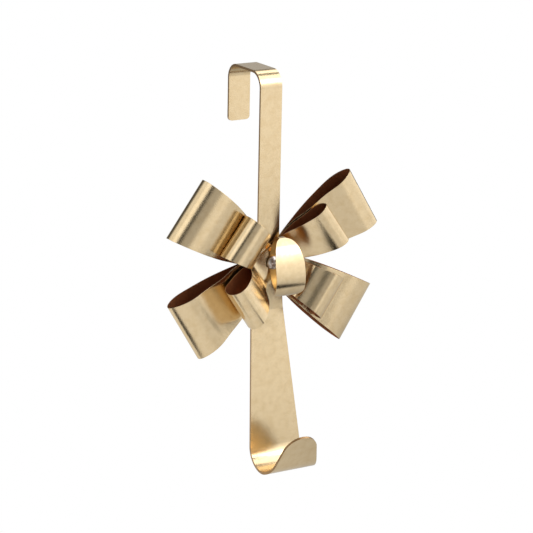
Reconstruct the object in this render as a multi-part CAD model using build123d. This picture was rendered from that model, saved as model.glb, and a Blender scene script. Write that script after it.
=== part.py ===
from build123d import *
from collections import namedtuple
from math import cos, radians, sin, sqrt
import os

# Over-the-door wreath hanger with a bow of bent metal ribbons.
# Millimetres. +Z is up, the front faces -Y and X runs across the strap.
# The origin is the middle of the underside of the roof, where the hanger sits on the door.

# Strap: one strip of sheet steel, bent over the door, kicked forward and curled into the wreath hook.
door_gap = 47.0
strap_width = 19.0
strap_gauge = 2.0
flange_drop = 45.0
flange_corner = 3.0
back_bend = 10.5
front_bend = 11.0
flare_drop = 126.0
kick_drop = 186.0
kick_angle = 8.8
kick_bend = 14.0
hook_drop = 294.0
hook_width = 45.0
hook_radius = 16.2
lip_lean = 23.0
lip_length = 25.0
lip_width = 24.0
lip_corner = 11.0

# Bow: four bow-tie strips laid across one another, a knot over them and one screw through all.
bow_drop = 147.0
ribbon_gauge = 0.5
lap_play = 0.05
lap_length = 9.0
waist_length = 26.0

large_waist = 20.5
large_width = 52.0
large_belly = 0.66
large_reach = 92.0
large_start = 28.0

small_waist = 21.5
small_width = 37.0
small_belly = 0.62
small_reach = 56.0
small_start = 18.0

# Each loop of a strip rises from its layer at the start and its front strand lands a little
# nearer the screw, at a part of that start. Between the two its centre line is sprung through
# points along the strip and forward of its layer, as parts of the reach, from rear to front.
Loop = namedtuple("Loop", "landing points")
large_upper_right = Loop(0.95, [
    (0.424, -0.022), (0.726, -0.038), (0.918, -0.014), (1.003, 0.092),
    (0.888, 0.159), (0.688, 0.118), (0.533, 0.093), (0.444, 0.059)])
large_lower_left = Loop(0.92, [
    (0.455, -0.024), (0.747, -0.038), (0.927, -0.019), (0.996, 0.079),
    (0.919, 0.153), (0.773, 0.173), (0.656, 0.147), (0.390, 0.070)])
large_lower_right = Loop(0.82, [
    (0.515, -0.021), (0.692, 0.000), (0.880, 0.031), (0.952, 0.130),
    (0.876, 0.188), (0.728, 0.185), (0.590, 0.136), (0.387, 0.066)])
large_upper_left = Loop(0.92, [
    (0.540, -0.012), (0.737, 0.015), (0.960, 0.046), (1.042, 0.139),
    (0.935, 0.200), (0.711, 0.163), (0.554, 0.139), (0.406, 0.066)])
small_upper_right = Loop(0.85, [
    (0.514, 0.026), (0.784, 0.138), (0.973, 0.217), (1.005, 0.361),
    (0.890, 0.419), (0.680, 0.337), (0.536, 0.227), (0.360, 0.060)])
small_lower_left = Loop(0.75, [
    (0.430, 0.028), (0.743, 0.179), (0.847, 0.257), (0.880, 0.400),
    (0.851, 0.540), (0.775, 0.591), (0.615, 0.522), (0.480, 0.395)])
small_lower_right = Loop(0.97, [
    (0.440, 0.040), (0.781, 0.185), (0.920, 0.245), (0.972, 0.350),
    (0.920, 0.455), (0.755, 0.490), (0.604, 0.395), (0.440, 0.200)])
small_upper_left = Loop(0.97, [
    (0.425, 0.015), (0.701, 0.121), (0.890, 0.225), (0.935, 0.340),
    (0.896, 0.460), (0.741, 0.530), (0.580, 0.450), (0.430, 0.230)])

large_rising_angle = 30.0
large_falling_angle = -33.5
small_rising_angle = 33.5
small_falling_angle = -34.5

# Knot: a strip rolled into a ring, narrow under the screw and wide at the front.
knot_rise = 22.0
knot_fall = 24.0
knot_depth = 34.0
knot_back_bend = 6.0
knot_roundness = 0.7
knot_back_width = 9.0
knot_front_width = 27.0
knot_flare = 13.0
knot_swell = 0.4

# Fastening: a pan-head machine screw with a cross recess, and a thin nut behind the strap.
screw_thread = 5.0
screw_head = 10.5
screw_head_height = 3.6
screw_shoulder = 1.4
screw_tip = 0.6
recess_width = 5.6
recess_slot = 1.2
recess_depth = 1.8
hole_clearance = 0.5
thread_clearance = 0.1
nut_flats = 8.0
nut_height = 2.7
nut_bevel = 0.4
screw_end = 1.2

front_face = -door_gap / 2 - strap_gauge
hub = Vector(0, front_face, -bow_drop)
forward = Vector(0, -1, 0)
hole = screw_thread + hole_clearance
lap_step = ribbon_gauge + lap_play
strip_stack = 3 * ribbon_gauge + 2 * lap_play


def sheet(path, gauge):
    """The section of a bent sheet: its centre line given an even thickness."""
    return trace(path, gauge)


def screw_hole(through):
    return Cylinder(hole / 2, through, rotation=(90, 0, 0))


def strap_path():
    """Centre line of the strap in the Y-Z plane, from the back flange to the lip of the hook."""
    half = strap_gauge / 2
    back_radius = back_bend + half
    front_radius = front_bend + half
    rear = door_gap / 2 + half
    flange = Line((rear, -flange_drop), (rear, half - back_radius))
    over = JernArc(flange @ 1, flange % 1, back_radius, 90)
    roof = Line(over @ 1, (front_radius - rear, half))
    down = JernArc(roof @ 1, roof % 1, front_radius, 90)
    drop = Line(down @ 1, (-rear, -kick_drop))
    kick = JernArc(drop @ 1, drop % 1, kick_bend, -kick_angle)
    start = kick @ 1
    run = (hook_drop + start.Y) / cos(radians(kick_angle))
    leg = Line(start, start + (kick % 1) * run)
    curl = JernArc(leg @ 1, leg % 1, hook_radius + half, kick_angle + lip_lean - 180)
    lip = Line(curl @ 1, curl @ 1 + (curl % 1) * lip_length)
    return [flange, over, roof, down, drop, kick, leg, curl, lip]


def front_outline():
    """Front view of the strap: even to the bow, then flaring to the width of the hook."""
    top = 2 * strap_gauge
    bottom = -hook_drop - 2 * hook_radius - strap_gauge
    narrow = strap_width / 2
    wide = hook_width / 2
    right = [(narrow, top), (narrow, -flare_drop), (wide, -hook_drop), (wide, bottom)]
    left = [(-x, z) for x, z in reversed(right)]
    return make_face(Polyline(*right, *left, close=True))


def lip_outline():
    """The hook's lip seen square on: full width where the curl runs straight down, rounded tip."""
    low = -lip_length - (hook_radius + strap_gauge / 2) * cos(radians(lip_lean))
    tip = lip_width / 2
    wide = hook_width / 2
    right = [(tip, 0), (wide, low), (wide, 2 * low)]
    left = [(-x, z) for x, z in reversed(right)]
    face = make_face(Polyline(*right, *left, close=True))
    corners = face.vertices().sort_by(Axis.Y)[-2:]
    return fillet(corners, lip_corner)


def hanger_strap():
    path = strap_path()
    section = Plane.YZ * sheet(path, strap_gauge)
    strip = extrude(section, hook_width / 2, both=True)
    curl = path[-2]
    lip = path[-1]
    split = curl.arc_center.X
    reach = 2 * door_gap
    height = 4 * hook_drop
    ahead = Pos(0, split - reach / 2, 0) * Box(2 * hook_width, reach, height)
    front_view = extrude(Plane.XZ * front_outline(), 4 * reach, both=True) - ahead
    tip = Vector(0, (lip @ 1).X, (lip @ 1).Y)
    along = Vector(0, (lip % 1).X, (lip % 1).Y)
    lip_plane = Plane(origin=tip, x_dir=(1, 0, 0), z_dir=Vector(1, 0, 0).cross(along))
    lip_view = extrude(lip_plane * lip_outline(), 2 * hook_radius, both=True) & ahead
    strap = strip & (front_view + lip_view)
    ends = strap.edges().filter_by(Axis.Y).group_by(Axis.Y)[-1].sort_by(Axis.Z)[:2]
    strap = fillet(ends, flange_corner)
    return strap - Pos(hub) * screw_hole(4 * strap_gauge)


def arc_pair(near, leaving, far, arriving):
    """Two tangent arcs from one point and direction to another point and direction."""
    gap = far - near
    pull = gap.dot(leaving + arriving)
    turn = 2 * (1 - leaving.dot(arriving))
    share = gap.dot(gap) / (sqrt(pull**2 + turn * gap.dot(gap)) + pull)
    middle = (near + far + (leaving - arriving) * share) / 2
    first = TangentArc(near, middle, tangent=leaving)
    return [first, TangentArc(middle, far, tangent=first % 1)]


def sprung_loop(loop, side, reach, start, landing_level, rear_level):
    """Centre line of one loop in (along, forward), from its rear strand round to its landing."""
    points = [Vector(side * start, rear_level)]
    points += [Vector(side * along * reach, rear_level + ahead * reach) for along, ahead in loop.points]
    points += [Vector(side * loop.landing * start, landing_level)]
    headings = [Vector(side, 0)]
    for last, here, following in zip(points, points[1:], points[2:]):
        before = here - last
        after = following - here
        headings.append((before / before.dot(before) + after / after.dot(after)).normalized())
    headings.append(Vector(-side, 0))
    arcs = []
    for near, far, leaving, arriving in zip(points, points[1:], headings, headings[1:]):
        arcs += arc_pair(near, leaving, far, arriving)
    return arcs


def ribbon_outline(waist, width, belly, reach):
    """The strip laid flat: even at the waist, then swelling with curved edges to both ends."""
    flat = waist_length / 2
    middle = (flat + reach) / 2
    half_waist = waist / 2
    half_end = width / 2
    half_middle = half_waist + (half_end - half_waist) * belly
    edges = []
    for side in (1, -1):
        for edge in (1, -1):
            corners = [(flat, half_waist), (middle, half_middle), (reach, half_end)]
            edges.append(ThreePointArc(*[(side * x, edge * y) for x, y in corners]))
        edges.append(Line((side * reach, half_end), (side * reach, -half_end)))
        edges.append(Line((-flat, side * half_waist), (flat, side * half_waist)))
    return make_face(edges)


def ribbon(angle, layer, right, left, size):
    """One bow-tie strip bent into two loops, its ends lapped over each other under the screw."""
    waist, width, belly, reach, start = size
    rear_level = layer * strip_stack + ribbon_gauge / 2
    right_level = rear_level + lap_step
    left_level = right_level + lap_step
    first = sprung_loop(right, 1, reach, start, right_level, rear_level)
    second = sprung_loop(left, -1, reach, start, left_level, rear_level)
    path = [Line((-lap_length, right_level), first[-1] @ 1), *first]
    path += [Line(first[0] @ 0, second[0] @ 0), *second, Line(second[-1] @ 1, (lap_length, left_level))]
    turn = radians(angle)
    along = Vector(cos(turn), 0, sin(turn))
    section_plane = Plane(origin=hub, x_dir=along, z_dir=along.cross(forward))
    band = extrude(section_plane * sheet(path, ribbon_gauge), width, both=True)
    longest = reach * max(point[0] for loop in (right, left) for point in loop.points)
    plan_plane = Plane(origin=hub, x_dir=along, z_dir=forward)
    outline = plan_plane * ribbon_outline(waist, width, belly, longest + ribbon_gauge)
    strip = band & extrude(outline, reach, both=True)
    return strip - Pos(hub) * screw_hole(4 * reach)


def large_ribbon(angle, layer, right, left):
    size = (large_waist, large_width, large_belly, large_reach, large_start)
    return ribbon(angle, layer, right, left, size)


def small_ribbon(angle, layer, right, left):
    size = (small_waist, small_width, small_belly, small_reach, small_start)
    return ribbon(angle, layer, right, left, size)


knot_level = 4 * strip_stack
head_level = knot_level + 2 * ribbon_gauge + lap_play


def knot_outline(back, front):
    """Side view of the knot's width: even at the back, then swelling to its full width in front."""
    narrow = knot_back_width / 2
    wide = knot_front_width / 2
    swell = narrow + (wide - narrow) * knot_swell
    middle = (knot_flare + front) / 2
    right = [Line((narrow, back), (narrow, knot_flare))]
    right += [ThreePointArc((narrow, knot_flare), (swell, middle), (wide, front))]
    left = [ThreePointArc((-wide, front), (-swell, middle), (-narrow, knot_flare))]
    left += [Line((-narrow, knot_flare), (-narrow, back))]
    ends = [Line((wide, front), (-wide, front)), Line((-narrow, back), (narrow, back))]
    return make_face(right + left + ends)


def centre_knot():
    """A ring standing forward from the screw; its width follows how far forward it stands."""
    inner = knot_level + ribbon_gauge / 2
    outer = inner + lap_step
    corners = [(-lap_length, inner), (knot_rise, inner), (knot_rise, knot_depth)]
    corners += [(-knot_fall, knot_depth), (-knot_fall, outer), (lap_length, outer)]
    front_bend = knot_roundness * (knot_depth - inner)
    radii = [knot_back_bend, front_bend, front_bend, knot_back_bend]
    path = FilletPolyline(*corners, radius=radii)
    upward = Vector(0, 0, 1)
    section_plane = Plane(origin=hub, x_dir=upward, z_dir=upward.cross(forward))
    band = extrude(section_plane * sheet(path, ribbon_gauge), knot_front_width, both=True)
    across = Vector(1, 0, 0)
    side_plane = Plane(origin=hub, x_dir=across, z_dir=across.cross(forward))
    outline = side_plane * knot_outline(0, knot_depth + ribbon_gauge)
    ring = band & extrude(outline, knot_rise + knot_fall, both=True)
    return ring - Pos(hub) * screw_hole(2 * head_level + strap_gauge)


def bow_screw():
    """Pan head with a domed top and a cross recess, shank through the bow, the strap and the nut."""
    radius = screw_head / 2
    dome_rise = screw_head_height - screw_shoulder
    dome_radius = (radius**2 + dome_rise**2) / (2 * dome_rise)
    head = Pos(0, 0, screw_head_height / 2) * Cylinder(radius, screw_head_height)
    head &= Pos(0, 0, screw_head_height - dome_radius) * Sphere(dome_radius)
    cross = Box(recess_width, recess_slot, 2 * recess_depth)
    cross += Box(recess_slot, recess_width, 2 * recess_depth)
    head -= Pos(0, 0, screw_head_height) * cross
    length = head_level + strap_gauge + nut_height + screw_end
    shank = Pos(0, 0, -length / 2) * Cylinder(screw_thread / 2, length)
    shank = chamfer(shank.edges().group_by(Axis.Z)[0], screw_tip)
    seat = Plane(origin=hub + forward * head_level, x_dir=(1, 0, 0), z_dir=forward)
    return seat * (head + shank)


def screw_nut():
    """Thin hexagon nut against the back of the strap."""
    blank = extrude(RegularPolygon(nut_flats / 2, 6, major_radius=False), nut_height)
    blank = chamfer(blank.edges().group_by(Axis.Z)[-1], nut_bevel)
    blank -= Cylinder((screw_thread + thread_clearance) / 2, 3 * nut_height)
    seat = Plane(origin=(0, front_face + strap_gauge, -bow_drop), x_dir=(1, 0, 0), z_dir=(0, 1, 0))
    return seat * blank


nodes = {
    "hanger_strap": hanger_strap(),
    "large_ribbon_falling": large_ribbon(large_falling_angle, 0, large_lower_right, large_upper_left),
    "large_ribbon_rising": large_ribbon(large_rising_angle, 1, large_upper_right, large_lower_left),
    "small_ribbon_falling": small_ribbon(small_falling_angle, 2, small_lower_right, small_upper_left),
    "small_ribbon_rising": small_ribbon(small_rising_angle, 3, small_upper_right, small_lower_left),
    "centre_knot": centre_knot(),
    "bow_screw": bow_screw(),
    "screw_nut": screw_nut(),
}

os.makedirs("parts", exist_ok=True)
for name, shape in nodes.items():
    export_step(shape, os.path.join("parts", name + ".step"))
    print(name, round(shape.volume), "mm3")
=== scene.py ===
# %% [markdown]
# # Over-the-door wreath hanger with a metal bow
#
# The real object is sheet steel all over: a thick strap that is bent over the top of a door and
# curled into a wreath hook, and thin ribbons that are bent into the loops of a bow. One screw
# holds the bow. Everything is finished in antique champagne-gold leaf.
#
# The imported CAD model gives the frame. It is loaded first and never moved, so every piece made
# here is measured against it.

# %% Load the frame
import math

import bpy
from mathutils import Matrix, Vector


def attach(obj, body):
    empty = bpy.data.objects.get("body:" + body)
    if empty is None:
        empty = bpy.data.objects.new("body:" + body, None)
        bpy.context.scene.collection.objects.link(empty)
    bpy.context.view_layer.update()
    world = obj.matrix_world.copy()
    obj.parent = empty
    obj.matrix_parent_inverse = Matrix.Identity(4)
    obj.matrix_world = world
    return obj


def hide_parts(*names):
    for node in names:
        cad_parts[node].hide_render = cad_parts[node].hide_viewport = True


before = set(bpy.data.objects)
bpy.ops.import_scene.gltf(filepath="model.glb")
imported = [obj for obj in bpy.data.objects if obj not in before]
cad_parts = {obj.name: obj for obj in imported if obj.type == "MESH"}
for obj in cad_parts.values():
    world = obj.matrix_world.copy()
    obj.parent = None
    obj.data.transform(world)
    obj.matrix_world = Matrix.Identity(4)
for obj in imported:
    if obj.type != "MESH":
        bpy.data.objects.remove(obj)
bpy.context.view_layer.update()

scene = bpy.context.scene
scene.view_settings.view_transform = "Standard"

# %% [markdown]
# ## Sizes
#
# Blender works in metres here, and sheet metal is drawn in millimetres, so every size is written
# as a number of millimetres times `MM`. The values are those of the bends and widths that a
# metalworker would need: the gap for the door, the drop of each feature and the sheet's gauge.

# %% Sizes of the strap and of the bow
MM = 0.001

DOOR_GAP = 47 * MM
STRAP_WIDTH = 19 * MM
STRAP_GAUGE = 2 * MM
HOOK_WIDTH = 45 * MM
HOOK_DROP = 294 * MM
HOOK_RADIUS = 16.2 * MM
BOW_DROP = 147 * MM
RIBBON_GAUGE = 0.5 * MM
STRAP_EDGE = 0.35 * MM  # how far cut edges are softened
RIBBON_EDGE = 0.12 * MM
LAP_PLAY = 0.05 * MM
LAP_LENGTH = 9 * MM

FRONT = -DOOR_GAP / 2 - STRAP_GAUGE
HUB = Vector((0, FRONT, -BOW_DROP))
FORWARD = Vector((0, -1, 0))
UP = Vector((0, 0, 1))
RIGHT = Vector((1, 0, 0))
print("The bow is screwed to the strap at", [round(v * 1000, 1) for v in HUB], "mm")

# %% [markdown]
# ## Camera
#
# A small product is photographed from some way off with a long lens, which keeps its upright
# edges nearly parallel. The camera stands to the left of the hanger and a little above it, and
# looks at a point beside the bow. It is placed by the direction in which it looks, by its
# distance and by a slight roll. These values were fitted to the strap's edges, with the strap
# taken as 19 mm wide and the gap for the door as 47 mm.

# %% Camera
YAW = math.radians(30.795)
PITCH = math.radians(15.896)
ROLL = math.radians(1.144)
LOOK_AT = Vector((13.745, 0, -160.471)) * MM
DISTANCE = 1772 * MM
LENS = 150.8

view_dir = Vector((math.sin(YAW) * math.cos(PITCH), math.cos(YAW) * math.cos(PITCH), -math.sin(PITCH)))
level = Vector((math.cos(YAW), -math.sin(YAW), 0))
lift = level.cross(view_dir)
cam_x = level * math.cos(ROLL) + lift * math.sin(ROLL)
cam_y = lift * math.cos(ROLL) - level * math.sin(ROLL)
cam_z = -view_dir
camera = bpy.data.objects.new("camera", bpy.data.cameras.new("camera"))
scene.collection.objects.link(camera)
turn = Matrix((cam_x, cam_y, cam_z)).transposed().to_4x4()
camera.matrix_world = Matrix.Translation(LOOK_AT - view_dir * DISTANCE) @ turn
camera.data.lens = LENS
camera.data.sensor_width = 36
camera.data.clip_start = 0.05
camera.data.clip_end = 50
scene.camera = camera
print("Camera at", [round(v, 3) for v in camera.location])

# %% [markdown]
# ## Colours and nodes
#
# Colours are picked as sRGB hex values, which is how a paint or a screen names them. The renderer
# works in linear light, so one function converts them. One more small function adds a node with
# its settings and its links, so a material or a Geometry Nodes tree is a plain list of calls.

# %% Colour and node helpers
def linear(hex_colour):
    """The linear RGBA value of an sRGB colour such as "E4CDA5"."""
    channels = [int(hex_colour[i:i + 2], 16) / 255 for i in (0, 2, 4)]
    lit = [c / 12.92 if c <= 0.04045 else ((c + 0.055) / 1.055) ** 2.4 for c in channels]
    return (*lit, 1.0)


def node(tree, kind, inputs=(), **settings):
    """Adds a node, sets its properties, and gives each input a value or a link.

    The inputs are a dictionary by name or number, or a tuple in the order of the sockets.
    """
    made = tree.nodes.new(kind)
    for name, value in settings.items():
        setattr(made, name, value)
    given = inputs if isinstance(inputs, dict) else dict(enumerate(inputs))
    for key, value in given.items():
        socket = made.inputs[key]
        if isinstance(value, bpy.types.NodeSocket):
            tree.links.new(value, socket)
        else:
            socket.default_value = value
    return made


print("Champagne gold in linear light:", [round(v, 3) for v in linear("E4CDA5")[:3]])

# %% [markdown]
# ## The finish
#
# Antique champagne-gold leaf is thin metal leaf laid over steel and sealed with a clear satin
# varnish. It reflects like polished metal that has been rubbed with fine wool: soft mirror images,
# a fine grain, and faint cloudy patches where the leaf took more or less of the toning glaze.
# The ribbons' inner sides, which face into the loops, look much darker, and are given a darker
# bronze colour here. The knot's inner side is a deeper gold, and the cut edges of the sheet are
# rubbed. The Principled shader is fully metallic, so the leaf's colour is its base colour.
#
# Coordinates are turned to millimetres first, so a noise scale says how many spots fit in one.

# %% Gold leaf material
LEAF = "E4CDA5"
LEAF_TONED = "CDAF7E"
LEAF_WORN = "7A5430"
BRONZE = "AC7048"
BRONZE_TONED = "6E3E28"
KNOT_INSIDE = "B98E4E"
SHEARED = "B4936A"

IN_MM = (1 / MM, 1 / MM, 1 / MM)
CLOUDS_PER_MM = 0.15  # toning clouds about 7 mm across
SPECKS_PER_MM = 1.3  # worn specks a little under 1 mm
GRAIN_PER_MM = 2.4  # grains about 0.4 mm across
GRAIN_HEIGHT = 0.1 * MM


def gold_leaf(name, coordinates, colour, toned_colour, roughness):
    """Satin metal leaf with toning clouds, rubbed specks and a fine grain."""
    made = bpy.data.materials.new(name)
    made.use_nodes = True
    tree = made.node_tree
    tree.nodes.clear()
    place = node(tree, "ShaderNodeTexCoord").outputs[coordinates]
    at = node(tree, "ShaderNodeMapping", {"Vector": place, "Scale": IN_MM}).outputs[0]
    clouds = node(tree, "ShaderNodeTexNoise", {
        "Vector": at, "Scale": CLOUDS_PER_MM, "Detail": 5, "Roughness": 0.65}).outputs[0]
    specks = node(tree, "ShaderNodeTexNoise", {
        "Vector": at, "Scale": SPECKS_PER_MM, "Detail": 3, "Roughness": 0.7}).outputs[0]
    grain = node(tree, "ShaderNodeTexNoise", {
        "Vector": at, "Scale": GRAIN_PER_MM, "Detail": 2, "Roughness": 0.6}).outputs[0]
    toned = node(tree, "ShaderNodeMapRange", {
        "Value": clouds, "From Min": 0.42, "From Max": 0.8, "To Max": 0.5}).outputs[0]
    rubbed = node(tree, "ShaderNodeMapRange", {
        "Value": specks, "From Min": 0.6, "From Max": 0.78, "To Max": 0.6}).outputs[0]
    glazed = node(tree, "ShaderNodeMix", {
        0: toned, 6: linear(colour), 7: linear(toned_colour)}, data_type="RGBA").outputs[2]
    leaf = node(tree, "ShaderNodeMix", {
        0: rubbed, 6: glazed, 7: linear(LEAF_WORN)}, data_type="RGBA").outputs[2]
    rough = node(tree, "ShaderNodeMapRange", {
        "Value": grain, "To Min": roughness - 0.06, "To Max": roughness + 0.08}).outputs[0]
    bump = node(tree, "ShaderNodeBump", {
        "Height": grain, "Strength": 0.38, "Distance": GRAIN_HEIGHT}).outputs[0]
    shader = node(tree, "ShaderNodeBsdfPrincipled", {
        "Base Color": leaf, "Metallic": 1.0, "Roughness": rough, "Normal": bump})
    node(tree, "ShaderNodeOutputMaterial", {"Surface": shader.outputs[0]})
    return made


leaf_on_sheet = gold_leaf("antique gold leaf on sheet steel", "UV", LEAF, LEAF_TONED, 0.17)
# The ribbons' inner sides, which face into the loops, get a darker bronze colour, and the knot's inner side
# gets a deeper gold.
bronze_side = gold_leaf("darker bronze on the inner side", "UV", BRONZE, BRONZE_TONED, 0.5)
knot_inner_side = gold_leaf("deeper gold inside the knot", "UV", KNOT_INSIDE, LEAF_WORN, 0.3)
cut_edge = gold_leaf("rubbed cut edge of the sheet", "Object", SHEARED, LEAF_WORN, 0.35)
print("Leaf:", ", ".join(made.name for made in (leaf_on_sheet, bronze_side, knot_inner_side, cut_edge)))

# %% [markdown]
# The screw and its nut are zinc-plated steel. Zinc plating is silvery with a faint blue or pink
# cast, a little duller than chrome, and it has a fine crystalline grain.

# %% Zinc material
ZINC = "E9E3DE"
ZINC_DULL = "BDB4AE"
SPANGLES_PER_MM = 1.6
ZINC_GRAIN_PER_MM = 3.0
ZINC_GRAIN_HEIGHT = 0.05 * MM


def zinc_plating(name):
    """Bright zinc with a faint crystalline spangle and a fine grain."""
    made = bpy.data.materials.new(name)
    made.use_nodes = True
    tree = made.node_tree
    tree.nodes.clear()
    place = node(tree, "ShaderNodeTexCoord").outputs["Object"]
    at = node(tree, "ShaderNodeMapping", {"Vector": place, "Scale": IN_MM}).outputs[0]
    spangle = node(tree, "ShaderNodeTexVoronoi", {
        "Vector": at, "Scale": SPANGLES_PER_MM}).outputs["Distance"]
    grain = node(tree, "ShaderNodeTexNoise", {
        "Vector": at, "Scale": ZINC_GRAIN_PER_MM, "Detail": 3}).outputs[0]
    dull = node(tree, "ShaderNodeMapRange", {
        "Value": spangle, "From Min": 0.2, "From Max": 0.9}).outputs[0]
    colour = node(tree, "ShaderNodeMix", {
        0: dull, 6: linear(ZINC), 7: linear(ZINC_DULL)}, data_type="RGBA").outputs[2]
    rough = node(tree, "ShaderNodeMapRange", {
        "Value": grain, "To Min": 0.3, "To Max": 0.45}).outputs[0]
    bump = node(tree, "ShaderNodeBump", {
        "Height": grain, "Strength": 0.15, "Distance": ZINC_GRAIN_HEIGHT}).outputs[0]
    shader = node(tree, "ShaderNodeBsdfPrincipled", {
        "Base Color": colour, "Metallic": 1.0, "Roughness": rough, "Normal": bump})
    node(tree, "ShaderNodeOutputMaterial", {"Surface": shader.outputs[0]})
    return made


zinc = zinc_plating("zinc plated steel")
print("Screw and nut:", zinc.name)

# %% [markdown]
# ## A strip that follows a path
#
# Strap, ribbons and knot are one idea: a flat strip of sheet that is bent along a path, with a
# width that follows a rule. A Geometry Nodes tree does it once for all, and takes two kinds of
# path. The strap is bent on a brake: straight runs whose corner points carry a bend radius, which
# the tree rounds. Ribbons and knot are sprung into loops by hand, so theirs is a smooth NURBS line
# drawn by a few pull points. The tree then sweeps a straight line along the path. Half the width
# at each point depends on how far it is from the piece's middle: even, then swelling.
# Both ends can have rounded corners, and the last end can taper to a narrower tip.
# Solidify and Bevel then give the sheet its gauge and its softened edges.

# %% How wide the strip is
def corner_loss(tree, distance, radius):
    """How much narrower half the strip is, at a distance from an end with rounded corners."""
    near = node(tree, "ShaderNodeMath", (distance, radius), operation="MINIMUM").outputs[0]
    short = node(tree, "ShaderNodeMath", (radius, near), operation="SUBTRACT").outputs[0]
    radius_squared = node(tree, "ShaderNodeMath", (radius, radius), operation="MULTIPLY").outputs[0]
    short_squared = node(tree, "ShaderNodeMath", (short, short), operation="MULTIPLY").outputs[0]
    square = node(tree, "ShaderNodeMath", (radius_squared, short_squared), operation="SUBTRACT").outputs[0]
    root = node(tree, "ShaderNodeMath", (square,), operation="SQRT").outputs[0]
    return node(tree, "ShaderNodeMath", (radius, root), operation="SUBTRACT").outputs[0]


def half_width(tree, given, reach, travelled):
    """Half the strip's width at a point: even, then swelling, with a taper and rounded corners."""
    narrow = given["Narrow Width"]
    wide = given["Wide Width"]
    tip = given["Tip Width"]
    far_out = node(tree, "ShaderNodeMath", (reach,), operation="ABSOLUTE").outputs[0]
    spread = node(tree, "ShaderNodeMapRange", {
        "Value": far_out, "From Min": given["Narrow Until"], "From Max": given["Wide From"]}).outputs[0]
    swell = node(tree, "ShaderNodeMath", (spread, given["Swell"]), operation="POWER").outputs[0]
    extra = node(tree, "ShaderNodeMath", (wide, narrow), operation="SUBTRACT").outputs[0]
    gained = node(tree, "ShaderNodeMath", (extra, swell), operation="MULTIPLY").outputs[0]
    swelling = node(tree, "ShaderNodeMath", (narrow, gained), operation="ADD").outputs[0]
    whole = node(tree, "GeometryNodeSplineLength").outputs["Length"]
    to_tip = node(tree, "ShaderNodeMath", (whole, travelled), operation="SUBTRACT").outputs[0]
    taper = node(tree, "ShaderNodeMath", (wide, tip), operation="SUBTRACT").outputs[0]
    slope = node(tree, "ShaderNodeMath", (taper, given["Tip Taper"]), operation="DIVIDE").outputs[0]
    opened = node(tree, "ShaderNodeMath", (to_tip, slope), operation="MULTIPLY").outputs[0]
    tapering = node(tree, "ShaderNodeMath", (tip, opened), operation="ADD").outputs[0]
    width = node(tree, "ShaderNodeMath", (swelling, tapering), operation="MINIMUM").outputs[0]
    half = node(tree, "ShaderNodeMath", (width, 0.5), operation="MULTIPLY").outputs[0]
    for distance, radius in ((travelled, given["Start Corner"]), (to_tip, given["Tip Corner"])):
        lost = corner_loss(tree, distance, radius)
        half = node(tree, "ShaderNodeMath", (half, lost), operation="SUBTRACT").outputs[0]
    return half


# %% The tree for a bent strip
STRIP_INPUTS = {
    "Sprung": "NodeSocketBool", "Step": "NodeSocketFloat", "Columns": "NodeSocketInt",
    "Centre": "NodeSocketVector", "Across": "NodeSocketVector", "Along": "NodeSocketVector",
    "Narrow Width": "NodeSocketFloat", "Wide Width": "NodeSocketFloat",
    "Narrow Until": "NodeSocketFloat", "Wide From": "NodeSocketFloat", "Swell": "NodeSocketFloat",
    "Ahead Tilt": "NodeSocketFloat", "Behind Tilt": "NodeSocketFloat",
    "Tip Width": "NodeSocketFloat", "Tip Taper": "NodeSocketFloat",
    "Start Corner": "NodeSocketFloat", "Tip Corner": "NodeSocketFloat", "Material": "NodeSocketMaterial",
}
STEPS_PER_BEND = 24


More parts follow.
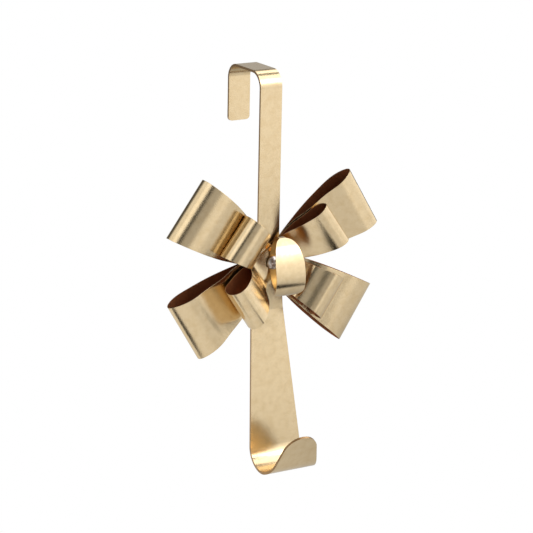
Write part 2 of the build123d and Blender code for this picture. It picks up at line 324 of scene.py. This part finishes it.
def bent_strip_tree():
    """The tree that sweeps a strip along a path and gives it its width at every point."""
    tree = bpy.data.node_groups.new("bent strip", "GeometryNodeTree")
    tree.interface.new_socket("Path", in_out="INPUT", socket_type="NodeSocketGeometry")
    for name, kind in STRIP_INPUTS.items():
        tree.interface.new_socket(name, in_out="INPUT", socket_type=kind)
    tree.interface.new_socket("Strip", in_out="OUTPUT", socket_type="NodeSocketGeometry")
    given = node(tree, "NodeGroupInput").outputs
    bend = node(tree, "GeometryNodeInputRadius").outputs[0]
    rounded = node(tree, "GeometryNodeFilletCurve", {
        "Curve": given["Path"], "Count": STEPS_PER_BEND, "Radius": bend}, mode="POLY")
    rounded.inputs["Limit Radius"].default_value = True
    chosen = node(tree, "GeometryNodeSwitch", (
        given["Sprung"], rounded.outputs[0], given["Path"]), input_type="GEOMETRY").outputs[0]
    even = node(tree, "GeometryNodeResampleCurve", {
        "Curve": chosen, "Length": given["Step"]}, mode="LENGTH").outputs[0]
    here = node(tree, "GeometryNodeInputPosition").outputs[0]
    travelled = node(tree, "GeometryNodeSplineParameter").outputs["Length"]
    from_centre = node(tree, "ShaderNodeVectorMath", (here, given["Centre"]), operation="SUBTRACT").outputs[0]
    reach = node(tree, "ShaderNodeVectorMath", (
        from_centre, given["Along"]), operation="DOT_PRODUCT").outputs["Value"]
    half = half_width(tree, given, reach, travelled)
    # A fold that isn't quite square across the strip: the shear grows towards the far end.
    far = node(tree, "ShaderNodeMath", (reach, given["Wide From"]), operation="DIVIDE").outputs[0]
    far_squared = node(tree, "ShaderNodeMath", (far, far), operation="MULTIPLY").outputs[0]
    ahead = node(tree, "ShaderNodeMath", (reach, 0.0), operation="GREATER_THAN").outputs[0]
    tilt = node(tree, "ShaderNodeMix", {0: ahead, 2: given["Behind Tilt"], 3: given["Ahead Tilt"]}).outputs[0]
    shear = node(tree, "ShaderNodeMath", (far_squared, tilt), operation="MULTIPLY").outputs[0]
    path = node(tree, "GeometryNodeCaptureAttribute", {"Geometry": even}, domain="POINT")
    path.capture_items.new("VECTOR", "on the path")
    for kept in ("half width", "travelled", "shear"):
        path.capture_items.new("FLOAT", kept)
    for socket, value in zip(list(path.inputs)[1:5], (here, half, travelled, shear)):
        tree.links.new(value, socket)
    # A straight line from one edge to the other, swept along the path.
    line = node(tree, "GeometryNodeCurvePrimitiveLine", {"Start": (-1, 0, 0), "End": (1, 0, 0)}).outputs[0]
    columns = node(tree, "GeometryNodeResampleCurve", {
        "Curve": line, "Count": given["Columns"]}, mode="COUNT").outputs[0]
    side = node(tree, "ShaderNodeSeparateXYZ", (here,)).outputs["X"]
    profile = node(tree, "GeometryNodeCaptureAttribute", {"Geometry": columns}, domain="POINT")
    profile.capture_items.new("FLOAT", "side")
    tree.links.new(side, list(profile.inputs)[1])
    swept = node(tree, "GeometryNodeCurveToMesh", {
        "Curve": path.outputs[0], "Profile Curve": profile.outputs[0]}).outputs[0]
    # Every point of the sweep is put back on the path, then moved across and along the strip.
    place, half_here, run, shear_here = list(path.outputs)[1:5]
    side_here = list(profile.outputs)[1]
    across = node(tree, "ShaderNodeMath", (side_here, half_here), operation="MULTIPLY").outputs[0]
    slide = node(tree, "ShaderNodeMath", (across, shear_here), operation="MULTIPLY").outputs[0]
    for direction, amount in ((given["Across"], across), (given["Along"], slide)):
        shift = node(tree, "ShaderNodeVectorMath", {
            0: direction, "Scale": amount}, operation="SCALE").outputs[0]
        place = node(tree, "ShaderNodeVectorMath", (place, shift), operation="ADD").outputs[0]
    sheet = node(tree, "GeometryNodeSetPosition", {"Geometry": swept, "Position": place}).outputs[0]
    flat = node(tree, "ShaderNodeCombineXYZ", (across, run)).outputs[0]
    mapped = node(tree, "GeometryNodeStoreNamedAttribute", {
        "Geometry": sheet, "Name": "UVMap"}, data_type="FLOAT2", domain="CORNER")
    tree.links.new(flat, next(s for s in mapped.inputs if s.name == "Value" and s.enabled))
    shaded = node(tree, "GeometryNodeSetShadeSmooth", {"Geometry": mapped.outputs[0]}).outputs[0]
    whole_piece = node(tree, "GeometryNodeRealizeInstances", (shaded,)).outputs[0]
    finished = node(tree, "GeometryNodeSetMaterial", {
        "Geometry": whole_piece, "Material": given["Material"]}).outputs[0]
    node(tree, "NodeGroupOutput", (finished,))
    return tree


strip_tree = bent_strip_tree()
print("The bent strip tree has", len(strip_tree.nodes), "nodes")


# %% Make a strip from its path
def bent_strip(name, corners, gauge, soften, sprung=False, inner=None, **sizes):
    """Bends a strip along a path of (point, bend radius), thickens it and makes it a mesh.

    A sprung path is a NURBS line that the points pull towards them, and has no bend radii.
    """
    curve = bpy.data.curves.new(name + " path", "CURVE")
    curve.dimensions = "3D"
    spline = curve.splines.new("NURBS" if sprung else "POLY")
    spline.points.add(len(corners) - 1)
    for point, (place, radius) in zip(spline.points, corners):
        point.co = (*place, 1)
        point.radius = radius
    if sprung:
        spline.order_u = 4
        spline.use_endpoint_u = True
        spline.resolution_u = 24
    path = bpy.data.objects.new(name + " path", curve)
    scene.collection.objects.link(path)
    bend = path.modifiers.new("bend", "NODES")
    bend.node_group = strip_tree
    inputs = [item for item in strip_tree.interface.items_tree if item.in_out == "INPUT"]
    sockets = {item.name: item.identifier for item in inputs}
    bend[sockets["Sprung"]] = sprung
    for key, value in sizes.items():
        bend[sockets[key.replace("_", " ").title()]] = value
    bend[sockets["Material"]] = leaf_on_sheet
    bpy.context.view_layer.update()
    sheet = bpy.data.meshes.new_from_object(path.evaluated_get(bpy.context.evaluated_depsgraph_get()))
    bpy.data.objects.remove(path)
    sheet.materials.append(inner or leaf_on_sheet)
    sheet.materials.append(cut_edge)
    piece = bpy.data.objects.new(name, sheet)
    scene.collection.objects.link(piece)
    thick = piece.modifiers.new("gauge", "SOLIDIFY")
    thick.thickness = gauge
    thick.offset = 0
    thick.material_offset = 1
    thick.material_offset_rim = 2
    edge = piece.modifiers.new("edge", "BEVEL")
    edge.width = soften
    edge.segments = 2
    edge.limit_method = "ANGLE"
    edge.angle_limit = math.radians(50)
    edge.harden_normals = True
    bpy.context.view_layer.update()
    solid = bpy.data.meshes.new_from_object(piece.evaluated_get(bpy.context.evaluated_depsgraph_get()))
    piece.modifiers.clear()
    piece.data = solid
    solid.name = name
    print(name, "has", len(solid.polygons), "faces")
    return piece


# %% [markdown]
# ## The strap
#
# The strap is one strip of 2 mm steel. It starts behind the door as a short flange, passes over the
# door, hangs down straight, leans forward a little below the bow and ends in the curled hook.
# Its path lies in the Y-Z plane, so its width runs along X.

# %% The strap's path and piece
FLANGE_DROP = 45 * MM
BACK_BEND = 10.5 * MM
FRONT_BEND = 11 * MM
FLARE_DROP = 126 * MM
KICK_DROP = 186 * MM
KICK_ANGLE = math.radians(8.8)
KICK_BEND = 14 * MM
LIP_LEAN = math.radians(23)
LIP_LENGTH = 25 * MM
LIP_WIDTH = 24 * MM


def strap_corners():
    half = STRAP_GAUGE / 2
    rear = DOOR_GAP / 2 + half
    kick = Vector((0, -rear, -KICK_DROP))
    # The kick's arc starts at KICK_DROP, so its corner is a tangent's length lower.
    kick -= UP * (KICK_BEND * math.tan(KICK_ANGLE / 2))
    down = Vector((0, -math.sin(KICK_ANGLE), -math.cos(KICK_ANGLE)))
    curl_start = kick + down * ((HOOK_DROP + kick.z) / math.cos(KICK_ANGLE))
    radius = HOOK_RADIUS + half
    sweep = math.pi - KICK_ANGLE - LIP_LEAN
    tangent = radius * math.tan(sweep / 4)
    first = curl_start + down * tangent
    middle_angle = KICK_ANGLE + sweep / 2
    middle = Vector((0, -math.sin(middle_angle), -math.cos(middle_angle)))
    second = first + middle * 2 * tangent
    last_angle = KICK_ANGLE + sweep
    lip = Vector((0, -math.sin(last_angle), -math.cos(last_angle)))
    tip = second + lip * (tangent + LIP_LENGTH)
    return [
        (Vector((0, rear, -FLANGE_DROP)), 0),
        (Vector((0, rear, half)), BACK_BEND + half),
        (Vector((0, -rear, half)), FRONT_BEND + half),
        (kick, KICK_BEND),
        (first, radius),
        (second, radius),
        (tip, 0),
    ]


strap = bent_strip(
    "strap", strap_corners(), STRAP_GAUGE, STRAP_EDGE, step=0.5 * MM, columns=7,
    centre=(0, 0, 0), across=RIGHT, along=UP, narrow_width=STRAP_WIDTH, wide_width=HOOK_WIDTH,
    narrow_until=FLARE_DROP, wide_from=HOOK_DROP, swell=1.0, tip_width=LIP_WIDTH,
    tip_taper=LIP_LENGTH + HOOK_RADIUS, start_corner=3 * MM, tip_corner=11 * MM)

# %% [markdown]
# ## The ribbons of the bow
#
# Each ribbon is one thin strip that is narrow at the screw and wide at its ends, bent back on
# itself into two loops whose ends lap under the screw. A loop's rear strand lies flat, then leans
# forward; the fold at its end is a tight half turn; the front strand comes back and lands on the
# screw. The four ribbons lie across one another, so each layer starts where the last one ends.
# A sprung loop is drawn well by a NURBS line, which passes smoothly near the points that pull it.
# The points come from a fit to the visible edges of the loops, and about half of them were changed
# after it.

# %% The ribbons' paths and pieces
WAIST_LENGTH = 26 * MM
STACK = 3 * RIBBON_GAUGE + 2 * LAP_PLAY
NO_TAPER = 200 * MM  # a tip so wide that it never narrows the strip

# Millimetres, apart from swell. The flat stretch beside the screw runs between the two flat values.
LARGE = {"waist": 19.9, "width": 52.0, "swell": 0.59, "reach": 92.0, "flat": (8, 22)}
SMALL = {"waist": 22.0, "width": 37.0, "swell": 0.70, "reach": 54.0, "flat": (6, 15.5)}

# The points that pull a loop's centre line, as (along, forward) in millimetres: the rear strand
# from the waist outwards, round the fold, and the front strand back to where it lands.
LARGE_UPPER_RIGHT = [
    (35, 0.4), (50, -1.4), (66.5, -1.6), (82.5, -1.8), (97.5, 11.3),
    (78.1, 19.2), (64, 11.5), (47, 11.5), (33, 3.6)]
LARGE_LOWER_LEFT = [
    (35, 0.8), (50.7, -1.6), (66.9, -1.5), (83.2, -2.2), (97.5, 10.3),
    (76.3, 20.7), (61, 14.6), (44.8, 13.7), (31, 5.6)]
LARGE_LOWER_RIGHT = [
    (32.3, 0.3), (48.5, -1.6), (63.4, -0.2), (78.9, -0.4), (93.6, 14),
    (71.8, 21.9), (57.5, 14.4), (41, 14.6), (31, 3.0)]
LARGE_UPPER_LEFT = [
    (33.7, 0.3), (50.7, -0.9), (67.5, 1.5), (83, 0.2), (96.3, 5), (91.5, 16),
    (80.5, 21.5), (69, 22), (56, 18.5), (43, 11.5), (32.5, 3)]
SMALL_UPPER_RIGHT = [
    (22.3, 5.1), (33.3, 7.7), (42.6, 13.3), (54.7, 14.3), (59.1, 26.7),
    (46.9, 30), (37.4, 23.5), (29.2, 17.5), (22, 8.6)]
SMALL_LOWER_LEFT = [
    (20.2, 6.2), (30.5, 9.4), (38.9, 13.8), (49.8, 18.9), (51.9, 34.8),
    (42.1, 40.2), (32.8, 33.2), (24.7, 25.4), (19.4, 12.0)]
SMALL_LOWER_RIGHT = [
    (22.9, 4.1), (33.1, 8.8), (41.9, 12.9), (53.5, 14.1), (56, 27.2),
    (42, 32.2), (34.6, 24.7), (25.5, 21.0), (21, 8.6)]
SMALL_UPPER_LEFT = [
    (22.4, 3.9), (32.6, 7.7), (42, 11.6), (52.8, 15.3), (52.4, 29.2),
    (40.7, 35.2), (30.7, 29.8), (22.8, 22.7), (20, 9.6)]

# Size, angle, layer, right and left loop, and how far out of square the two folds are.
RIBBONS = {
    "large_falling_ribbon": (LARGE, -33.4, 0, LARGE_LOWER_RIGHT, LARGE_UPPER_LEFT, 0.5, -2.6),
    "large_rising_ribbon": (LARGE, 30.1, 1, LARGE_UPPER_RIGHT, LARGE_LOWER_LEFT, 1.2, 0.9),
    "small_falling_ribbon": (SMALL, -34.5, 2, SMALL_LOWER_RIGHT, SMALL_UPPER_LEFT, 0.0, -3.1),
    "small_rising_ribbon": (SMALL, 33.6, 3, SMALL_UPPER_RIGHT, SMALL_LOWER_LEFT, 1.3, -0.3),
}


def loop_pulls(loop, side, flat, landing, rear):
    """One loop's pulling points as (along, forward) in metres, from its rear strand to its landing."""
    near, far = flat
    pulls = [(near, rear), (far, rear), *loop, (far - 1, landing), (near, landing)]
    return [(side * along * MM, forward * MM) for along, forward in pulls]


def ribbon_path(size, angle, layer, right, left):
    """The pull points of one ribbon, from lap to lap, and the direction in which it lies."""
    gauge = RIBBON_GAUGE / MM
    lap = gauge + LAP_PLAY / MM
    rear = layer * STACK / MM + gauge / 2
    near, far = rear + lap, rear + 2 * lap
    route = [(-LAP_LENGTH, near * MM)] + loop_pulls(right, 1, size["flat"], near, rear)[::-1]
    route += loop_pulls(left, -1, size["flat"], far, rear) + [(LAP_LENGTH, far * MM)]
    turn = math.radians(angle)
    along = Vector((math.cos(turn), 0, math.sin(turn)))
    return [(HUB + along * a + FORWARD * f, 0) for a, f in route], along


ribbons = {}
for name, (size, angle, layer, right, left, right_tilt, left_tilt) in RIBBONS.items():
    pulls, along = ribbon_path(size, angle, layer, right, left)
    across = along.cross(FORWARD)
    ribbons[name] = bent_strip(
        name, pulls, RIBBON_GAUGE, RIBBON_EDGE, sprung=True, inner=bronze_side, step=0.8 * MM, columns=9,
        centre=HUB, across=across, along=along,
        narrow_width=size["waist"] * MM, wide_width=size["width"] * MM,
        narrow_until=WAIST_LENGTH / 2, wide_from=size["reach"] * MM, swell=size["swell"],
        ahead_tilt=math.tan(math.radians(right_tilt)), behind_tilt=math.tan(math.radians(left_tilt)),
        tip_width=NO_TAPER, tip_taper=1.0, start_corner=0.5 * MM, tip_corner=0.5 * MM)

# %% [markdown]
# ## The knot
#
# The knot that hides the middle of the bow is a strip rolled into a ring in front of the screw.
# It is narrow where the screw clamps it and swells to its full width at the front, which leans
# back a little, so the upper half faces the key light and the lower half the table.

# %% The knot's path and piece
KNOT_DEPTH = 34 * MM
KNOT_WAIST = 6 * MM
KNOT_WIDTH = 26 * MM
KNOT_NARROW_UNTIL = 21.5 * MM
# The points that pull the knot's line, as (rise, depth) in millimetres, from its upper lap round.
KNOT_FRONT = [
    (13, 9), (21, 13), (24, 19), (20.5, 26), (12, 31), (2, 34), (-7, 35.4), (-15, 34.4),
    (-21.5, 29.5), (-22.5, 21.5), (-19, 13.5), (-12, 9)]
knot_level = (4 * STACK + RIBBON_GAUGE / 2) / MM
lap_level = knot_level + (RIBBON_GAUGE + LAP_PLAY) / MM
knot_line = [(rise, knot_level) for rise in (-9, -3, 5)]
knot_line += KNOT_FRONT
knot_line += [(rise, lap_level) for rise in (-5, 3, 9)]

knot = bent_strip(
    "knot", [(HUB + UP * rise * MM + FORWARD * depth * MM, 0) for rise, depth in reversed(knot_line)],
    RIBBON_GAUGE, RIBBON_EDGE, sprung=True, inner=knot_inner_side, step=0.6 * MM, columns=9,
    centre=HUB, across=RIGHT, along=FORWARD, narrow_width=KNOT_WAIST, wide_width=KNOT_WIDTH,
    narrow_until=KNOT_NARROW_UNTIL, wide_from=KNOT_DEPTH - 1 * MM, swell=0.6, tip_width=NO_TAPER, tip_taper=1.0,
    start_corner=0.5 * MM, tip_corner=0.5 * MM)

# %% [markdown]
# ## Riding on the frame
#
# Each piece stands for the CAD node of the same part. The screw and its nut keep their CAD shape
# and only take the zinc plating.

# %% Replace and dress the CAD nodes
STANDS_FOR = {
    "hanger_strap": strap,
    "large_ribbon_falling": ribbons["large_falling_ribbon"],
    "large_ribbon_rising": ribbons["large_rising_ribbon"],
    "small_ribbon_falling": ribbons["small_falling_ribbon"],
    "small_ribbon_rising": ribbons["small_rising_ribbon"],
    "centre_knot": knot,
}
for cad_node, piece in STANDS_FOR.items():
    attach(piece, "root")
    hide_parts(cad_node)
for cad_node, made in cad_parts.items():
    made.data.materials.clear()
    made.data.materials.append(zinc)
print("Pieces that replace CAD nodes:", len(STANDS_FOR))

# %% [markdown]
# Two small black flags lie level in the air near the hanger. One draws the dark line on the bend
# over the door, the other the dark band beside the fold of the small upper right loop. They were
# placed by trial for the main view. Only reflections see them: the camera, shadows and diffuse
# light don't.

# %% Flags
FLAGS = {  # centre, then width along X and depth along Y
    "upper flag": ((150 * MM, -8 * MM, 260 * MM), 72 * MM, 84 * MM),
    "front flag": ((34 * MM, -129 * MM, -205 * MM), 44 * MM, 54 * MM),
}

velvet = bpy.data.materials.new("black velvet")
velvet.use_nodes = True
velvet.node_tree.nodes.clear()
cloth = node(velvet.node_tree, "ShaderNodeBsdfDiffuse", {"Color": linear("0C0B0A")})
node(velvet.node_tree, "ShaderNodeOutputMaterial", {"Surface": cloth.outputs[0]})

for title, ((x, y, z), width, depth) in FLAGS.items():
    flag_mesh = bpy.data.meshes.new(title)
    corners = [(x + a * width / 2, y + b * depth / 2, z) for a, b in ((-1, -1), (1, -1), (1, 1), (-1, 1))]
    flag_mesh.from_pydata(corners, [], [(0, 1, 2, 3)])
    flag_mesh.materials.append(velvet)
    flag = bpy.data.objects.new(title, flag_mesh)
    scene.collection.objects.link(flag)
    flag.visible_camera = False
    flag.visible_shadow = False
    flag.visible_diffuse = False
print("Flags:", len(FLAGS))

# %% [markdown]
# ## Studio
#
# Polished metal shows what stands round it, so the studio makes the look. To the camera, table and
# room are plain white, and diffuse light comes from an even room. Reflections see something else:
# a room drawn in the world shader as panels, which are soft boxes, pale walls and dark flags, each
# at its own azimuth and elevation, and a table top that glows with painted light. Its glow falls off
# in brightness towards a painted shadow, and it has a painted brighter left side and one painted dark patch.
# The layout was tuned by trial for the main view, so from other sides it is only plausible.

# %% Helpers for the studio
def between(tree, value, low, high, soft):
    """1 inside a range, fading to 0 across a soft edge at both ends."""
    rise = node(tree, "ShaderNodeMapRange", {
        "Value": value, "From Min": low - soft / 2, "From Max": low + soft / 2},
        interpolation_type="SMOOTHSTEP").outputs[0]
    fall = node(tree, "ShaderNodeMapRange", {
        "Value": value, "From Min": high + soft / 2, "From Max": high - soft / 2},
        interpolation_type="SMOOTHSTEP").outputs[0]
    return node(tree, "ShaderNodeMath", (rise, fall), operation="MULTIPLY").outputs[0]


def inside_of(tree, values, ranges, soft):
    """1 where both values lie in their ranges, with a soft edge all round."""
    shares = [between(tree, value, low, high, soft) for value, (low, high) in zip(values, ranges)]
    return node(tree, "ShaderNodeMath", shares, operation="MULTIPLY").outputs[0]


def who_looks(tree):
    """1 for rays straight from the camera, and 1 for rays off gloss or through glass."""
    ray = node(tree, "ShaderNodeLightPath").outputs
    mirrored = node(tree, "ShaderNodeMath", (
        ray["Is Glossy Ray"], ray["Is Transmission Ray"]), operation="MAXIMUM").outputs[0]
    return ray["Is Camera Ray"], mirrored


# %% Table top
TABLE_LEVEL = -335 * MM
TABLE_RADIUS = 950 * MM
TABLE_SIDES = 64

table_mesh = bpy.data.meshes.new("table")
rim = [2 * math.pi * i / TABLE_SIDES for i in range(TABLE_SIDES)]
corners = [(TABLE_RADIUS * math.cos(a), TABLE_RADIUS * math.sin(a), TABLE_LEVEL) for a in rim]
table_mesh.from_pydata(corners, [], [range(TABLE_SIDES)])
table = bpy.data.objects.new("table", table_mesh)
scene.collection.objects.link(table)
print("The table lies", round(-TABLE_LEVEL / MM), "mm below the roof")

# %% Table finish
# Seen in reflections, the table top glows with painted light. It is dimmer near SHADE_CENTRE, which is a
# painted shadow, brighter on its left side, and dark in one painted patch.
SHADE_CENTRE = (140 * MM, 30 * MM, 0)
SHADE_FALL = (20 * MM, 300 * MM)
SHADE_GLOW = (0.42, 0.78)
# Painted light: the table's glow in reflections is brighter on its left side, towards -X.
PAINTED_LEFT_GLOW = 0.12
PAINTED_LEFT_FROM = 60 * MM
# A painted dark patch in the table's reflected glow, where nothing lies on the table.
DARK_PATCH_PLACE = ((-200 * MM, -130 * MM), (-125 * MM, -45 * MM))
DARK_PATCH_EDGE = 10 * MM
DARK_PATCH_GLOW = 0.08

paper = bpy.data.materials.new("white table top")
paper.use_nodes = True
tree = paper.node_tree
tree.nodes.clear()
straight, mirrored = who_looks(tree)
place = node(tree, "ShaderNodeTexCoord").outputs["Object"]
sideways, depthwise = node(tree, "ShaderNodeSeparateXYZ", (place,)).outputs[:2]
level_place = node(tree, "ShaderNodeCombineXYZ", (sideways, depthwise)).outputs[0]
from_shade = node(tree, "ShaderNodeVectorMath", (
    level_place, SHADE_CENTRE), operation="DISTANCE").outputs["Value"]
falling = node(tree, "ShaderNodeMapRange", {
    "Value": from_shade, "From Min": SHADE_FALL[0], "From Max": SHADE_FALL[1],
    "To Min": SHADE_GLOW[0], "To Max": SHADE_GLOW[1]}).outputs[0]
# Painted light: the left side of the table's reflected glow is made brighter.
painted_left_side = node(tree, "ShaderNodeMapRange", {
    "Value": sideways, "From Min": PAINTED_LEFT_FROM, "From Max": -PAINTED_LEFT_FROM,
    "To Max": PAINTED_LEFT_GLOW}).outputs[0]
top_glow = node(tree, "ShaderNodeMath", (falling, painted_left_side), operation="ADD").outputs[0]
# A painted dark patch in the table's reflected glow.
painted_dark_patch = inside_of(tree, (sideways, depthwise), DARK_PATCH_PLACE, DARK_PATCH_EDGE)
reflected = node(tree, "ShaderNodeMix", {0: painted_dark_patch, 2: top_glow, 3: DARK_PATCH_GLOW}).outputs[0]
glow = node(tree, "ShaderNodeMix", {0: straight, 2: reflected, 3: 1.0}).outputs[0]
matte = node(tree, "ShaderNodeBsdfDiffuse", {"Color": linear("F2F2F2")}).outputs[0]
lit = node(tree, "ShaderNodeEmission", {"Color": (1, 1, 1, 1), "Strength": glow}).outputs[0]
seen = node(tree, "ShaderNodeMath", (straight, mirrored), operation="MAXIMUM").outputs[0]
both = node(tree, "ShaderNodeMixShader", (seen, matte, lit)).outputs[0]
node(tree, "ShaderNodeOutputMaterial", {"Surface": both})
table_mesh.materials.append(paper)
print("Table finish:", paper.name)

# %% Room
ROOM = 0.5
DIFFUSE_LIGHT = 0.5
# Azimuth from the front (-Y) towards +X, and elevation, in degrees: where each panel begins and
# ends, how soft its edge is, and how bright it is. Later panels cover earlier ones.
PANELS = {
    "back left": (-182, -128, -10, 90, 6, 0.1),
    "right wall": (0, 64, -40, 5, 6, 1.18),
    "low wall": (0, 64, -9, 1, 3, 0.94),
    "right flag": (74, 94, -90, 0, 8, 0.3),
    "far right": (95, 117, -30, 5, 4, 0.9),
    "left soft box, outer": (-116, -81, -20, 60, 4, 1.0),
    "left soft box, inner": (-78, -47, -20, 60, 4, 1.35),
    "key soft box, lower": (16, 138, -2, 75, 4, 1.2),
    "key soft box": (16, 138, 15, 75, 14, 2.0),
    "right edge flag": (112, 141, -60, 22, 4, 0.1),
    "back right": (142, 182, 25, 90, 8, 0.12),
    "flag by the camera": (-44, -28, -75, 48, 4, 0.06),
}

world = bpy.data.worlds.new("studio")
scene.world = world
world.use_nodes = True
tree = world.node_tree
tree.nodes.clear()
straight, mirrored = who_looks(tree)
look = node(tree, "ShaderNodeTexCoord").outputs["Generated"]
x, y, z = node(tree, "ShaderNodeSeparateXYZ", (look,)).outputs
frontal = node(tree, "ShaderNodeMath", (y, -1.0), operation="MULTIPLY").outputs[0]
turned = node(tree, "ShaderNodeMath", (x, frontal), operation="ARCTAN2").outputs[0]
raised = node(tree, "ShaderNodeMath", (z,), operation="ARCSINE").outputs[0]
azimuth = node(tree, "ShaderNodeMath", (turned,), operation="DEGREES").outputs[0]
elevation = node(tree, "ShaderNodeMath", (raised,), operation="DEGREES").outputs[0]
room = ROOM
for begin, end, low, high, soft, strength in PANELS.values():
    inside = inside_of(tree, (azimuth, elevation), ((begin, end), (low, high)), soft)
    room = node(tree, "ShaderNodeMix", {0: inside, 2: room, 3: strength}).outputs[0]
reflected = node(tree, "ShaderNodeMix", {0: mirrored, 2: DIFFUSE_LIGHT, 3: room}).outputs[0]
strength = node(tree, "ShaderNodeMix", {0: straight, 2: reflected, 3: 1.0}).outputs[0]
sky = node(tree, "ShaderNodeBackground", {"Color": (1, 1, 1, 1), "Strength": strength}).outputs[0]
node(tree, "ShaderNodeOutputWorld", {"Surface": sky})
print("Panels in the room:", ", ".join(PANELS))

# %% Lamp
LAMP_PLACE = Vector((1.3, -1.3, 1.1))
LAMP_AIM = Vector((0, 0, -0.15))
LAMP_SIDE = 0.8
LAMP_WATTS = 6

light = bpy.data.lights.new("key", "AREA")
light.shape = "RECTANGLE"
light.size = LAMP_SIDE
light.size_y = LAMP_SIDE
light.energy = LAMP_WATTS
lamp = bpy.data.objects.new("key", light)
scene.collection.objects.link(lamp)
lamp.location = LAMP_PLACE
lamp.rotation_euler = (LAMP_AIM - LAMP_PLACE).to_track_quat("-Z", "Y").to_euler()
print("Lamp:", lamp.name)
